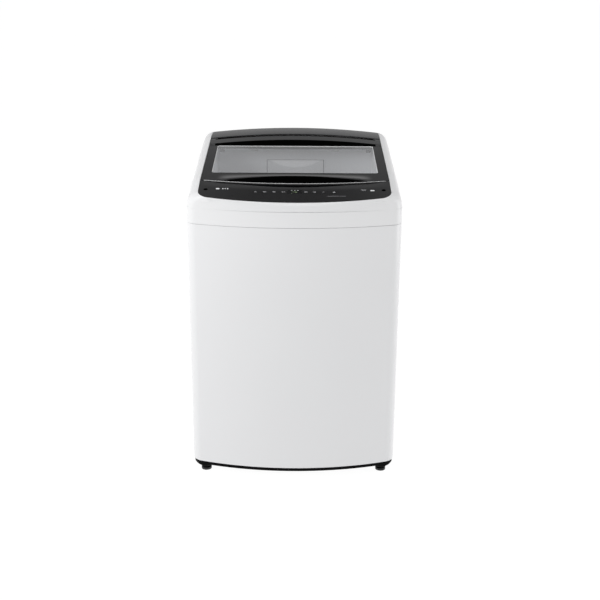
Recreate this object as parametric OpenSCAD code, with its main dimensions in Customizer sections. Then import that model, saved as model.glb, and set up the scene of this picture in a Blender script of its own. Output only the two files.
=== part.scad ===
/* [Cabinet] */
// Overall width of the cabinet
body_w = 632; // [630:1:640]
// Overall depth of the cabinet, at the middle of its bowed front
body_d = 670; // [668:1:680]
// Radius of the bowed front panel
bow_r = 890; // [880:1:1200]
// Radius of the front vertical corners
corner_r = 40; // [36:1:44]
// Height of the cabinet's lower edge above the floor
skirt_z = 36.5; // [35:0.5:42]
// Height of the seam between the steel cabinet and the top cover
seam_z = 802; // [796:1:806]
// Height of the crease that runs round the top cover
crease_z = 849.5; // [846:0.5:854]
// Thickness of the cabinet's sheet steel
sheet = 1; // [0.8:0.1:1.4]

/* [Top cover and lid] */
// Half width of the black area set into the top cover
deck_hw = 281.5; // [280:0.5:283]
// Height of the lid's front edge at the middle
lid_z = 910; // [906:1:914]
// Rise of the lid per millimetre of depth
lid_slope = 0.155; // [0.15:0.005:0.165]
// Height of the arched crown at the rear of the lid
crown_h = 15; // [12:1:18]
// Half width of the lid's glass
glass_hw = 252; // [248:1:254]
// Thickness of the lid's glass
glass_t = 4; // [3:0.5:5]

/* [Tub and basket] */
// Outer radius of the tub
tub_r = 272; // [266:1:274]
// Height of the tub's underside
tub_z = 250; // [246:1:256]
// Outer radius of the perforated basket
basket_r = 250; // [244:1:252]
// Radius of the pulsator
pulsator_r = 168; // [150:1:180]

/* [Feet] */
// Radius of a levelling foot's pad
foot_r = 16; // [14:0.5:18]
// Radius of a levelling foot's threaded stud
stud_r = 5; // [4:0.5:6]

/* [Hidden] */

hw = body_w / 2;
hd = body_d / 2;
eps = 0.01;
yb_in = 318;          // rear edge of the black area
yf_in = -hd + 19.7;   // front edge of the black area, at the middle
lid_rear = 196.4;     // rear edge of the lid
lens_hw = 200;        // half width of the finger groove across the lid's front
key_y = -264;         // row of keys
pose_a = atan(0.40);  // tilt of the control panel

// ---- plan outlines: bowed front, rounded corners, straight sides ----
nF = 28; nC = 6; nS = 8; nR = 4; nB = 12;
function outline(w, yf, rf, rc, yb, rb) =
  let (cx = w - rc, a0 = asin(cx / (rf - rc)), cy = yf + rf - sqrt((rf - rc) * (rf - rc) - cx * cx))
  concat(
    [for (i = [0:nF]) let (a = -a0 + 2 * a0 * i / nF) [rf * sin(a), yf + rf - rf * cos(a)]],
    [for (i = [1:nC]) let (a = a0 + (90 - a0) * i / nC) [cx + rc * sin(a), cy - rc * cos(a)]],
    [for (i = [1:nS]) [w, cy + (yb - rb - cy) * i / nS]],
    [for (i = [1:nR]) let (a = 90 * i / nR) [w - rb + rb * cos(a), yb - rb + rb * sin(a)]],
    [for (i = [1:nB]) [(w - rb) * (1 - 2 * i / nB), yb]],
    [for (i = [1:nR]) let (a = 90 + 90 * i / nR) [-(w - rb) + rb * cos(a), yb - rb + rb * sin(a)]],
    [for (i = [1:nS]) [-w, yb - rb + (cy - yb + rb) * i / nS]],
    [for (i = [1:nC - 1]) let (a = -90 + (90 - a0) * i / nC) [-cx + rc * sin(a), cy - rc * cos(a)]]);
function body_line(inset) = outline(hw - inset, -hd + inset, bow_r - inset, corner_r - inset, hd - inset, 14 - min(inset, 10));
function deck_line(inset) = outline(deck_hw - inset, yf_in + inset, 1800, 36 - inset, yb_in - inset, 30 - inset);

// ---- height of the black top surface ----
function yl(x) = -222 + x * x / 2722;
function q(x) = min(1, (x / 281.5) * (x / 281.5));
function zl(x) = lid_z + 4 * q(x);
function sm(t) = let (u = max(0, min(1, t))) u * u * (3 - 2 * u);
function zcontrol(x, y) = zl(x) - (0.40 - 0.12 * q(x)) * (yl(x) - y);
function zflat(x, y) = zl(x) + lid_slope * (y - yl(x));
function zcrown(x, y) = crown_h * (1 - q(x)) * sm((y - 128) / 14);
function zrear(x, y) = let (d = y - 197) zflat(x, 197) + crown_h * (1 - q(x)) + lid_slope * d - 0.0008 * d * d - (y > 300 ? 0.03 * (y - 300) * (y - 300) : 0);
function top_z(x, y) = y < yl(x) ? zcontrol(x, y) : (y <= 197 ? zflat(x, y) + zcrown(x, y) : zrear(x, y));
function groove_w(x) = abs(x) < lens_hw ? 46 * (1 - (x / lens_hw) * (x / lens_hw)) : 0;
function groove(x, y) = let (w = groove_w(x), t = w > 2 ? (y - yl(x) - 2) / w : -1) (t > 0 && t < 1) ? 9 * (w / 46) * pow(sin(180 * pow(t, 0.8)), 0.8) : 0;
function scoop(x, y) = let (w = abs(x) < 192 ? 9 * (1 - (x / 192) * (x / 192)) : 0, t = w > 1 ? (y - (yl(x) - w)) / w : -1) t > 0 ? 7 * (w / 9) * sm(t * 1.4) : 0;

// ---- closed ring and patch solids ----
module ring_solid(p) {
  n = len(p); k = len(p[0]);
  polyhedron(points = [for (s = p) for (v = s) v],
    faces = [for (i = [0:n - 1]) for (j = [0:k - 1]) let (a = i * k + j, b = ((i + 1) % n) * k + j, c = ((i + 1) % n) * k + (j + 1) % k, d = i * k + (j + 1) % k) each [[a, b, c], [a, c, d]]], convexity = 8);
}
module patch_solid(t, b) {
  n = len(t); m = len(t[0]); o = n * m;
  polyhedron(points = concat([for (r = t) for (v = r) v], [for (r = b) for (v = r) v]),
    faces = concat(
      [for (i = [0:n - 2]) for (j = [0:m - 2]) let (a = i * m + j, c = a + m) each [[a, a + 1, c + 1], [a, c + 1, c]]],
      [for (i = [0:n - 2]) for (j = [0:m - 2]) let (a = o + i * m + j, c = a + m) each [[a, c + 1, a + 1], [a, c, c + 1]]],
      [for (i = [0:n - 2]) let (a = i * m, c = a + m) each [[a, c, o + c], [a, o + c, o + a]]],
      [for (i = [0:n - 2]) let (a = i * m + m - 1, c = a + m) each [[a, o + c, c], [a, o + a, o + c]]],
      [for (j = [0:m - 2]) let (a = j) each [[a, o + a + 1, a + 1], [a, o + a, o + a + 1]]],
      [for (j = [0:m - 2]) let (a = (n - 1) * m + j) each [[a, a + 1, o + a + 1], [a, o + a + 1, o + a]]]), convexity = 8);
}
module at_corners(x, yf, yr) { for (s = [-1, 1]) { translate([s * x, yf, 0]) children(); translate([s * x, yr, 0]) children(); } }
module tube(ro, ri, h, f = 96) { difference() { cylinder(r = ro, h = h, $fn = f); translate([0, 0, -1]) cylinder(r = ri, h = h + 2, $fn = f); } }

// ---- cabinet ----
module cabinet() {
  color([0.93, 0.93, 0.935]) difference() {
    union() {
      difference() {
        translate([0, 0, skirt_z]) linear_extrude(seam_z - 0.6 - skirt_z) polygon(body_line(0));
        translate([0, 0, skirt_z - 1]) linear_extrude(seam_z - skirt_z + 2) polygon(body_line(sheet));
      }
      // rear returns that carry the rear panel
      for (s = [-1, 1]) translate([s * (hw - 20.5) - 20, hd - 3.2, skirt_z]) cube([40, 1, seam_z - 0.6 - skirt_z]);
      // top flange
      translate([0, 0, seam_z - 1.6]) difference() { linear_extrude(1) polygon(body_line(sheet - 0.5)); translate([0, 0, -1]) linear_extrude(3) polygon(body_line(14)); }
    }
    // the back is open between the returns
    translate([-hw + 24, hd - 2.1, skirt_z - 1]) cube([body_w - 48, 4, seam_z - skirt_z + 2]);
    for (x = [-284, 284]) for (z = [90, 300, 510, 720]) translate([x, hd - 5, z]) rotate([-90, 0, 0]) cylinder(r = 2.1, h = 4, $fn = 24);
  }
}
module rear_panel() {
  color([0.75, 0.75, 0.76]) difference() {
    union() {
      translate([-303, hd - 2, skirt_z + 4]) cube([606, 0.8, seam_z - skirt_z - 8]);
      for (z = [200, 330, 460, 590]) translate([-200, hd - 1.3, z]) cube([400, 1.3, 60]);
    }
    for (z = [200, 330, 460, 590]) translate([-197, hd - 2.1, z + 3]) cube([394, 1.3, 54]);
    for (x = [-284, 284]) for (z = [90, 300, 510, 720]) translate([x, hd - 3, z]) rotate([-90, 0, 0]) cylinder(r = 2.1, h = 3, $fn = 24);
    translate([-150, hd - 3, 130]) rotate([-90, 0, 0]) cylinder(r = 30, h = 4, $fn = 48);
    translate([215, hd - 3, 712]) rotate([-90, 0, 0]) cylinder(r = 9.5, h = 4, $fn = 48);
  }
}
module base_frame() {
  color([0.1, 0.1, 0.11]) difference() {
    union() {
      translate([0, 0, 25.2]) linear_extrude(skirt_z - 0.4 - 25.2) difference() { polygon(body_line(3)); polygon(body_line(32)); }
      intersection() { translate([0, 0, 14]) linear_extrude(22.1) polygon(body_line(3)); at_corners(276, -262, 286) { translate([0, 0, 14]) cylinder(r1 = 18, r2 = 37, h = 15, $fn = 48); translate([0, 0, 28.9]) cylinder(r = 37, h = 7.2, $fn = 48); } }
      for (s = [-1, 1]) translate([s * 150 - 12, -290, 25.2]) cube([24, 600, 10.9]);
    }
    at_corners(276, -262, 286) { translate([0, 0, 5]) cylinder(r = stud_r + 0.06, h = 40, $fn = 40); translate([0, 0, 11]) cylinder(r = 12, h = 15.4, $fn = 40); }
  }
}
module foot(x, y) {
  color([0.12, 0.12, 0.13]) translate([x, y, 0]) {
    cylinder(r = foot_r, h = 7, $fn = 48);
    translate([0, 0, 6.9]) cylinder(r1 = foot_r, r2 = 9, h = 4, $fn = 48);
    cylinder(r = stud_r, h = 50, $fn = 40);
  }
}
module foot_front_left() { foot(-276, -262); }
module foot_front_right() { foot(276, -262); }
module foot_rear_left() { foot(-276, 286); }
module foot_rear_right() { foot(276, 286); }
module foot_locknuts() { color([0.7, 0.7, 0.72]) at_corners(276, -262, 286) translate([0, 0, 20]) difference() { cylinder(r = 9.2, h = 6.4, $fn = 6); translate([0, 0, -1]) cylinder(r = stud_r + 0.06, h = 9, $fn = 40); } }

// ---- top cover ----
function cover_section(o, n) =
  let (zi = top_z(n[0], n[1]), h = norm(o - n), u = (n - o) / h, vz = zi - crease_z, qv = min(27, vz - 0.5), L = vz - qv, wi = 1 - 0.14 * min(1, max(0, L) / 30), in3 = o + u * 3)
  concat(
    [[o[0], o[1], seam_z], [o[0], o[1], crease_z]],
    [for (j = [0:6]) let (t = 15 * j, f = wi * pow(max(0, cos(t)), 4 / 3), p = n + (o - n) * f) [p[0], p[1], zi - qv * (1 - pow(sin(t), 4 / 3))]],
    [[n[0], n[1], zi - 7.8], [n[0] + u[0] * 9, n[1] + u[1] * 9, zi - 7.8], [n[0] + u[0] * 9, n[1] + u[1] * 9, zi - 10.6]],
    let (a = n + (o - n) * 0.15, b = n + (o - n) * 0.55, c = n + (o - n) * (wi - 0.14))
    [[a[0], a[1], zi - 10.6], [b[0], b[1], zi - 13.4], [c[0], c[1], zi - qv - 1], [in3[0], in3[1], crease_z - 8], [in3[0], in3[1], seam_z]]);
module top_cover() {
  oo = body_line(0); nn = deck_line(0);
  color([0.94, 0.94, 0.945]) difference() {
    ring_solid([for (i = [0:len(oo) - 1]) cover_section(oo[i], nn[i])]);
    // recess in the rear wall for the two water inlets
    translate([96, hd - 8, 846]) cube([128, 20, 52]);
  }
}
// ---- control panel, behind the front edge and in front of the lid ----
function panel_y(x, t) = let (a = abs(x) < 245 ? yf_in + 0.7 + 1800 - sqrt(1800 * 1800 - x * x) : 0) a + (yl(x) - 0.8 - a) * t;
pf = [for (i = [0:40]) -280.8 + 561.6 * i / 40];
pt = [0, 0.1, 0.25, 0.4, 0.55, 0.7, 0.84, 0.905, 0.94, 0.97, 1];
function panel_front(x) = let (rf = 1800, rc = 35.3, w = 280.8, cx = w - rc, cy = yf_in + 0.7 + rf - sqrt((rf - rc) * (rf - rc) - cx * cx), ax = abs(x), xs = cx + rc * cx / (rf - rc))
  ax <= xs ? yf_in + 0.7 + rf - sqrt(rf * rf - ax * ax) : cy - sqrt(max(0, rc * rc - (ax - cx) * (ax - cx)));
function panel_x(i) = let (u = -1 + 2 * i / 56) 280.8 * sin(90 * u) * 0.35 + 280.8 * u * 0.65;
module control_panel() {
  xs = [for (i = [0:56]) panel_x(i)];
  t = [for (x = xs) let (yf = panel_front(x), ye = yl(x) - 0.8) [for (s = pt) let (y = yf + (ye - yf) * s) [x, y, zcontrol(x, y) - scoop(x, y)]]];
  b = [for (r = t) [for (v = r) [v[0], v[1], v[2] - 3.2]]];
  color([0.16, 0.16, 0.17]) difference() {
    patch_solid(t, b);
    translate([0, key_y, zcontrol(0, key_y)]) rotate([pose_a, 0, 0]) translate([-131, -19, -12]) cube([262, 38, 24]);
    for (s = [-1, 1]) translate([s * 260, -251, zcontrol(260, -251)]) rotate([16.5, 0, 0]) translate([0, 0, -14]) cylinder(r = 6.3, h = 28, $fn = 36);
  }
}
module on_panel(x, y) { translate([x, y, zcontrol(0, y)]) rotate([pose_a, 0, 0]) children(); }
module slot2(l, w) { square([l - w, w], center = true); for (s = [-1, 1]) translate([s * (l - w) / 2, 0]) circle(r = w / 2, $fn = 32); }
key_xs = [-113.7, -87.6, -60, -33, 33, 58, 83, 114.6];
module fascia_plate() {
  color([0.13, 0.13, 0.15]) on_panel(0, key_y) difference() {
    translate([-130.5, -18.5, -3]) cube([261, 37, 3]);
    translate([-21.2, -9.2, -4]) cube([42.4, 20.4, 6]);
    for (x = key_xs) translate([x, 0, -4]) linear_extrude(6) slot2(20.6, 10.6);
  }
}
module display_lens() { color([0.05, 0.05, 0.06]) on_panel(0, key_y) translate([-21, -9, -2.8]) cube([42, 20, 2.6]); }
module display_board() {
  color([0.1, 0.35, 0.2]) on_panel(0, key_y) {
    translate([-126, -16, -14]) cube([252, 32, 1.6]);
    translate([-20, -8, -12.4]) cube([40, 18, 8]);
    for (x = key_xs) translate([x - 3, -3, -12.4]) cube([6, 6, 3.5]);
  }
}
module key(i) { color([0.15, 0.15, 0.16]) on_panel(key_xs[i], key_y) { translate([0, 0, -2.9]) linear_extrude(3.1) slot2(20, 10); translate([0, 0, -7.2]) cylinder(r = 2, h = 4.4, $fn = 24); } }
module key_power() { key(0); }
module key_program() { key(1); }
module key_water() { key(2); }
module key_soak() { key(3); }
module key_wash() { key(4); }
module key_rinse() { key(5); }
module key_spin() { key(6); }
module key_start() { key(7); }
module screw_caps() { color([0.08, 0.08, 0.08]) for (s = [-1, 1]) translate([s * 260, -251, zcontrol(260, -251)]) rotate([16.5, 0, 0]) translate([0, 0, -6]) cylinder(r = 6.2, h = 5.4, $fn = 36); }

// ---- lid ----
lid_in = 0.7;
hinge_y = 190; hinge_z = 977.5;
function lid_outer() = outline(deck_hw - lid_in, -222 + 0.6, 1361, 3, lid_rear, 3);
function lid_inner() = outline(glass_hw, -130, 40000, 8, 126, 8);
function lid_rebate() = outline(glass_hw + 8, -138, 40000, 4, 134, 4);
lt = [0, 0.04, 0.12, 0.22, 0.32, 0.42, 0.52, 0.64, 0.76, 0.88, 1];
function sgn(x) = x < 0 ? -1 : 1;
function lid_section(o, n, m) =
  let (side = abs(o[0]) > 262, p = side ? [sgn(o[0]) * 271, o[1] + (n[1] - o[1]) * 0.3] : o + (n - o) * 0.02, r = side ? p - [sgn(o[0]) * 1.5, 0] : o + (n - o) * 0.06, g = zflat(0, m[1]))
  concat(
    [for (s = lt) let (v = o + (n - o) * s) [v[0], v[1], zflat(v[0], v[1]) + zcrown(v[0], v[1]) - groove(v[0], v[1])]],
    [[n[0], n[1], zflat(0, n[1]) - 2.0], [m[0], m[1], g - 2.0], [m[0], m[1], g - 13]],
    [[r[0], r[1], zflat(r[0], r[1]) - 13], [p[0], p[1], zflat(p[0], p[1]) - (side ? 5.6 : 11)], [o[0], o[1], zflat(o[0], o[1]) - 5.6]]);
module lid_frame() {
  oo = lid_outer(); nn = lid_inner(); mm = lid_rebate();
  color([0.2, 0.2, 0.21]) difference() {
    ring_solid([for (i = [0:len(oo) - 1]) lid_section(oo[i], nn[i], mm[i])]);
    // pockets under the crown for the two hinge knuckles, and the bores that hold their pins
    for (s = [-1, 1]) { translate([s * 135 - 13, hinge_y - 9, 930]) cube([26, 30, hinge_z + 5.5 - 930]); translate([s * 135 - 19, hinge_y, hinge_z]) rotate([0, 90, 0]) cylinder(r = 2.52, h = 38, $fn = 40); }
  }
}
// flat glass pane, inclined with the lid
module lid_glass() {
  x = glass_hw + 7.4; y0 = -137.0; y1 = 133.4; z0 = zflat(0, 0) - 2.1;
  color([0.6, 0.62, 0.64, 0.4]) intersection() { rotate([90, 0, 90]) translate([0, 0, -x]) linear_extrude(2 * x) polygon([[y0, z0 + lid_slope * y0 - glass_t], [y1, z0 + lid_slope * y1 - glass_t], [y1, z0 + lid_slope * y1], [y0, z0 + lid_slope * y0]]);
    translate([0, 0, 860]) linear_extrude(150) polygon([[-x + 4, y0], [x - 4, y0], [x, y0 + 4], [x, y1 - 4], [x - 4, y1], [-x + 4, y1], [-x, y1 - 4], [-x, y0 + 4]]); }
}
module lid_hinge_pins() { color([0.7, 0.7, 0.72]) for (s = [-1, 1]) translate([s * 135 - 18.5, hinge_y, hinge_z]) rotate([0, 90, 0]) cylinder(r = 2.5, h = 37, $fn = 40); }
module hinge_brackets() {
  color([0.6, 0.6, 0.62]) for (s = [-1, 1]) translate([s * 135 - 11, 0, 0]) difference() {
    union() { translate([0, hinge_y, hinge_z]) rotate([0, 90, 0]) cylinder(r = 5, h = 22, $fn = 48); translate([0, hinge_y - 3.5, 936]) cube([22, 7, hinge_z - 937]); translate([0, hinge_y - 3.5, 936]) cube([22, 34, 5]); }
    translate([-1, hinge_y, hinge_z]) rotate([0, 90, 0]) cylinder(r = 2.55, h = 24, $fn = 40);
  }
}
module lid_hook() { color([0.2, 0.2, 0.21]) translate([222, -197, zflat(222, -194) - 34]) { cube([5, 6, 20.6]); translate([0, 5.5, 0]) cube([5, 3.5, 4]); } }
module lid_switch() { color([0.85, 0.85, 0.83]) translate([205, -207, zflat(222, -194) - 54]) difference() { cube([40, 27, 22]); translate([14, 3, 2]) cube([11, 21, 22]); } }

// ---- rear cover ----
function rear_x(i) = let (u = -1 + 2 * i / 48) (deck_hw - 0.7) * (0.3 * sin(90 * u) + 0.7 * u);
function rear_end(x) = let (ax = abs(x), w = deck_hw - 0.7, c = w - 29.3) ax < c ? yb_in - 0.7 : yb_in - 0.7 - 29.3 + sqrt(max(0, 29.3 * 29.3 - (ax - c) * (ax - c)));
rt = [0, 0.12, 0.3, 0.5, 0.68, 0.8, 0.88, 0.94, 1];
module rear_cover() {
  t = [for (i = [0:48]) let (x = rear_x(i), y0 = 205, y1 = max(rear_end(x), 288)) [for (s = rt) let (y = y0 + (y1 - y0) * s) [x, y, zrear(x, y)]]];
  b = [for (r = t) [for (v = r) [v[0], v[1], v[2] - 3]]];
  color([0.4, 0.4, 0.42]) patch_solid(t, b);
}
// ---- moulded collar between the cover and the mouth of the tub ----
module sloped_box(x0, x1, y0, y1, z0, dz) { rotate([90, 0, 90]) translate([0, 0, x0]) linear_extrude(x1 - x0) polygon([[y0, z0], [y1, z0], [y1, zflat(0, y1) - dz], [y0, zflat(0, y0) - dz]]); }
module mouth(r, h) { intersection() { cylinder(r = r, h = h, $fn = 120); translate([-r, -166 - (r - 205), -1]) cube([2 * r, 332 + 2 * (r - 205), h + 2]); } }
module loading_collar() {
  color([0.78, 0.79, 0.8]) difference() {
    union() {
      sloped_box(-259, 259, -178, 192, 846, 14.5);
      difference() { sloped_box(-268, 268, -178, 165, 880, 14.5); sloped_box(-300, 300, -200, 200, 800, 18.5); }
      translate([0, 0, 796]) mouth(208, 52);
      // shelf that carries the hinge brackets
      translate([-268, 188, 930]) cube([536, 40, 5.8]);
    }
    sloped_box(-256, 256, -175, 189, 849, -40);
    translate([0, 0, 790]) mouth(205, 62);
    for (s = [-1, 1]) translate([s * 135 - 13, 180, 935.8]) cube([26, 20, 40]);
    // window for the detergent drawer
    translate([-94.5, 180, 852]) cube([189, 20, 56]);
  }
}
module dispenser_housing() {
  color([0.82, 0.83, 0.84]) difference() {
    translate([-98, 192.4, 849]) cube([196, 120, 64]);
    translate([-94.3, 180, 852.2]) cube([188.6, 129, 57.6]);
    // water grid in the roof
    for (x = [-70:20:70]) for (y = [215:20:295]) translate([x, y, 905]) cylinder(r = 2, h = 12, $fn = 24);
    // outlet slot in the floor towards the tub
    translate([-70, 196, 845]) cube([140, 10, 10]);
  }
}
module detergent_drawer() {
  color([0.86, 0.87, 0.88]) difference() {
    union() { translate([-93.6, 186, 853]) cube([187.2, 3.4, 54.4]); translate([-91.4, 189.3, 853.4]) cube([182.8, 112, 46]); }
    translate([-88.8, 192, 856]) cube([88, 106.6, 60]);
    translate([1.4, 192, 856]) cube([87.4, 106.6, 60]);
    // finger scoop: a shallow circular segment across the front
    translate([0, 180.4, 1075]) rotate([-90, 0, 0]) cylinder(r = 197, h = 8.0, $fn = 180);
  }
}
module inlet_valves() {
  color([0.9, 0.9, 0.88]) for (x = [130, 190]) translate([x, 0, 872]) rotate([-90, 0, 0]) {
    difference() { union() { translate([0, 0, 318.6]) cylinder(r = 13.2, h = 14.4, $fn = 64); translate([0, 0, 314.6]) cylinder(r = 16, h = 4.4, $fn = 64); translate([-17, -17, 320.2 - 28]) cube([34, 34, 22.6]); } translate([0, 0, 322]) cylinder(r = 9.5, h = 12, $fn = 48); }
  }
}

// ---- tub group ----
module outer_tub() {
  color([0.8, 0.82, 0.83]) difference() {
    union() {
      translate([0, 0, tub_z]) cylinder(r = tub_r, h = 500, $fn = 128);
      for (a = [45:90:315]) rotate([0, 0, a]) translate([240, -16, 300]) cube([89, 32, 40]);
    }
    translate([0, 0, tub_z + 8]) cylinder(r = tub_r - 3.5, h = 510, $fn = 128);
    translate([0, 0, tub_z - 1]) cylinder(r = 45.2, h = 20, $fn = 64);
    translate([150, 150, tub_z - 1]) cylinder(r = 17, h = 20, $fn = 48);
    for (a = [45:90:315]) rotate([0, 0, a]) translate([susp_r, 0, 290]) cylinder(r = 6.5, h = 60, $fn = 40);
  }
}
susp_r = 312;
module tub_cover() {
  color([0.86, 0.87, 0.88]) difference() {
    union() { translate([0, 0, 750.2]) cylinder(r = tub_r + 2, h = 12, $fn = 128); translate([0, 0, 740]) tube(tub_r - 3.8, tub_r - 8, 11, 128); }
    translate([0, 0, 735]) cylinder(r = 214, h = 40, $fn = 120);
  }
}
module basket() {
  color([0.75, 0.76, 0.78]) translate([0, 0, 276]) difference() {
    cylinder(r = basket_r, h = 440, $fn = 128);
    translate([0, 0, 1.2]) cylinder(r = basket_r - 1.2, h = 440, $fn = 128);
    translate([0, 0, -1]) cylinder(r = 140, h = 5, $fn = 64);
    for (a = [0:20:340]) for (z = [60:60:360]) rotate([0, 0, a + (z % 120 == 0 ? 10 : 0)]) translate([basket_r - 4, 0, z]) rotate([0, 90, 0]) cylinder(r = 3, h = 8, $fn = 16);
  }
}
module basket_hub() {
  color([0.6, 0.61, 0.63]) difference() {
    union() { translate([0, 0, 262]) cylinder(r = 60, h = 13.6, $fn = 64); for (a = [0:120:240]) rotate([0, 0, a]) translate([40, -25, 268]) cube([190, 50, 7.6]); }
    translate([0, 0, 250]) cylinder(r = 15.06, h = 40, $fn = 64);
  }
}
module balance_ring() { color([0.88, 0.89, 0.9]) translate([0, 0, 690]) difference() { union() { cylinder(r = basket_r - 1.6, h = 27, $fn = 128); translate([0, 0, 26.4]) cylinder(r = basket_r + 2, h = 14, $fn = 128); } translate([0, 0, -1]) cylinder(r = 213, h = 60, $fn = 128); } }
module pulsator() {
  color([0.8, 0.82, 0.84]) translate([0, 0, 282]) difference() {
    union() {
      cylinder(r = pulsator_r, h = 10, $fn = 128);
      translate([0, 0, 9]) cylinder(r1 = pulsator_r - 8, r2 = 60, h = 14, $fn = 128);
      cylinder(r = 34, h = 44, $fn = 64);
      for (a = [0:60:300]) rotate([0, 0, a]) translate([30, -9, 6]) rotate([90, 0, 90]) linear_extrude(118) polygon([[0, 0], [18, 0], [12, 34], [6, 34]]);
    }
    translate([0, 0, -1]) cylinder(r = 6.03, h = 40, $fn = 40);
    translate([0, 0, 36]) cylinder(r = 9.4, h = 10, $fn = 40);
  }
}
module pulsator_screw() { color([0.7, 0.71, 0.73]) translate([0, 0, 318.2]) { cylinder(r = 9, h = 6, $fn = 40); translate([0, 0, -10]) cylinder(r = 3, h = 11, $fn = 32); } }
module lint_filter() { color([0.55, 0.75, 0.85]) translate([-38, 232.6, 420]) difference() { cube([76, 13, 190]); translate([5, -1, 8]) cube([66, 9, 168]); } }
module bearing_housing() {
  color([0.65, 0.66, 0.68]) difference() {
    union() { translate([0, 0, 200]) cylinder(r = 44.8, h = 58, $fn = 64); translate([0, 0, 239]) cylinder(r = 118, h = 10.6, $fn = 96); for (a = [0:60:300]) rotate([0, 0, a]) translate([30, -4, 210]) cube([84, 8, 30]); }
    translate([0, 0, 190]) cylinder(r = 31.02, h = 80, $fn = 64);
    translate([150, 150, 230]) cylinder(r = 18, h = 30, $fn = 40);
  }
}
module bearings() { color([0.75, 0.76, 0.78]) for (z = [202, 236]) translate([0, 0, z]) difference() { union() { tube(31, 26, 16, 64); tube(20, 15.02, 16, 64); translate([0, 0, 5]) tube(27, 19, 6, 64); } } }
module shaft_seal() { color([0.1, 0.1, 0.1]) translate([0, 0, 252.6]) tube(31, 15.06, 5.2, 64); }
module spin_shaft() { color([0.7, 0.71, 0.73]) translate([0, 0, 186]) tube(15, 8.06, 95, 64); }
module wash_shaft() { color([0.72, 0.73, 0.75]) difference() { union() { translate([0, 0, 140]) cylinder(r = 8, h = 140, $fn = 48); translate([0, 0, 279.9]) cylinder(r = 6, h = 38, $fn = 40); } translate([0, 0, 306]) cylinder(r = 3.04, h = 14, $fn = 32); } }
module stator() {
  color([0.65, 0.35, 0.2]) difference() {
    union() { translate([0, 0, 150]) tube(84, 62, 42, 96); for (a = [0:10:350]) rotate([0, 0, a]) translate([82, -4, 152]) cube([36, 8, 38]); translate([0, 0, 191.6]) tube(84, 40, 8, 96); }
    translate([0, 0, 140]) cylinder(r = 34, h = 70, $fn = 48);
  }
}
module rotor() {
  color([0.6, 0.61, 0.62]) difference() {
    union() { translate([0, 0, 138]) tube(132, 122, 58, 96); translate([0, 0, 138]) cylinder(r = 124, h = 5, $fn = 96); translate([0, 0, 138]) cylinder(r = 26, h = 40, $fn = 48); }
    translate([0, 0, 130]) cylinder(r = 8.03, h = 60, $fn = 48);
    for (a = [0:45:315]) rotate([0, 0, a]) translate([84, 0, 130]) cylinder(r = 14, h = 20, $fn = 32);
  }
}

// ---- suspension: four rods from the cabinet's corners, springs under the tub's ears ----
module suspension_rods() { color([0.6, 0.61, 0.63]) for (a = [45:90:315]) rotate([0, 0, a]) translate([susp_r, 0, 0]) { translate([0, 0, 160]) cylinder(r = 4, h = 612, $fn = 32); translate([0, 0, 160]) cylinder(r = 18, h = 8, $fn = 40); translate([0, 0, 768]) cylinder(r = 11, h = 8, $fn = 40); } }
sp_n = 7; sp_k = 12;
module coil(r, w, z0, z1) {
  n = sp_n * sp_k; m = 6;
  polyhedron(points = [for (i = [0:n]) let (a = 360 * i / sp_k, z = z0 + w + (z1 - z0 - 2 * w) * i / n) for (j = [0:m - 1]) let (b = 360 * j / m) [(r + w * cos(b)) * cos(a), (r + w * cos(b)) * sin(a), z + w * sin(b)]],
    faces = concat([[for (j = [0:m - 1]) j]], [[for (j = [m - 1:-1:0]) n * m + j]], [for (i = [0:n - 1]) for (j = [0:m - 1]) let (a = i * m + j, b = i * m + (j + 1) % m) each [[a, a + m, b + m], [a, b + m, b]]]), convexity = 10);
}
module suspension_springs() { color([0.45, 0.45, 0.47]) for (a = [45:90:315]) rotate([0, 0, a]) translate([susp_r, 0, 0]) coil(13, 1.6, 168.3, 299.6); }
module suspension_seats() { color([0.85, 0.85, 0.86]) for (a = [45:90:315]) rotate([0, 0, a]) translate([susp_r, 0, 0]) difference() { union() { translate([0, 0, 752.2]) cylinder(r = 15, h = 15.4, $fn = 40); } translate([0, 0, 745]) cylinder(r = 4.3, h = 40, $fn = 32); } }
module corner_brackets() {
  color([0.62, 0.63, 0.64]) difference() {
    translate([0, 0, 748]) linear_extrude(4) intersection() { polygon(body_line(1.4)); translate([-400, -400]) square([800, 731]); union() { for (sx = [-1, 1]) for (sy = [-1, 1]) translate([sx * 255 - 65, sy * 255 - 85]) square([130, 170]); } }
    translate([0, 0, 740]) cylinder(r = 285, h = 20, $fn = 128);
    for (a = [45:90:315]) rotate([0, 0, a]) translate([susp_r, 0, 740]) cylinder(r = 4.3, h = 20, $fn = 32);
  }
}
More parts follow.
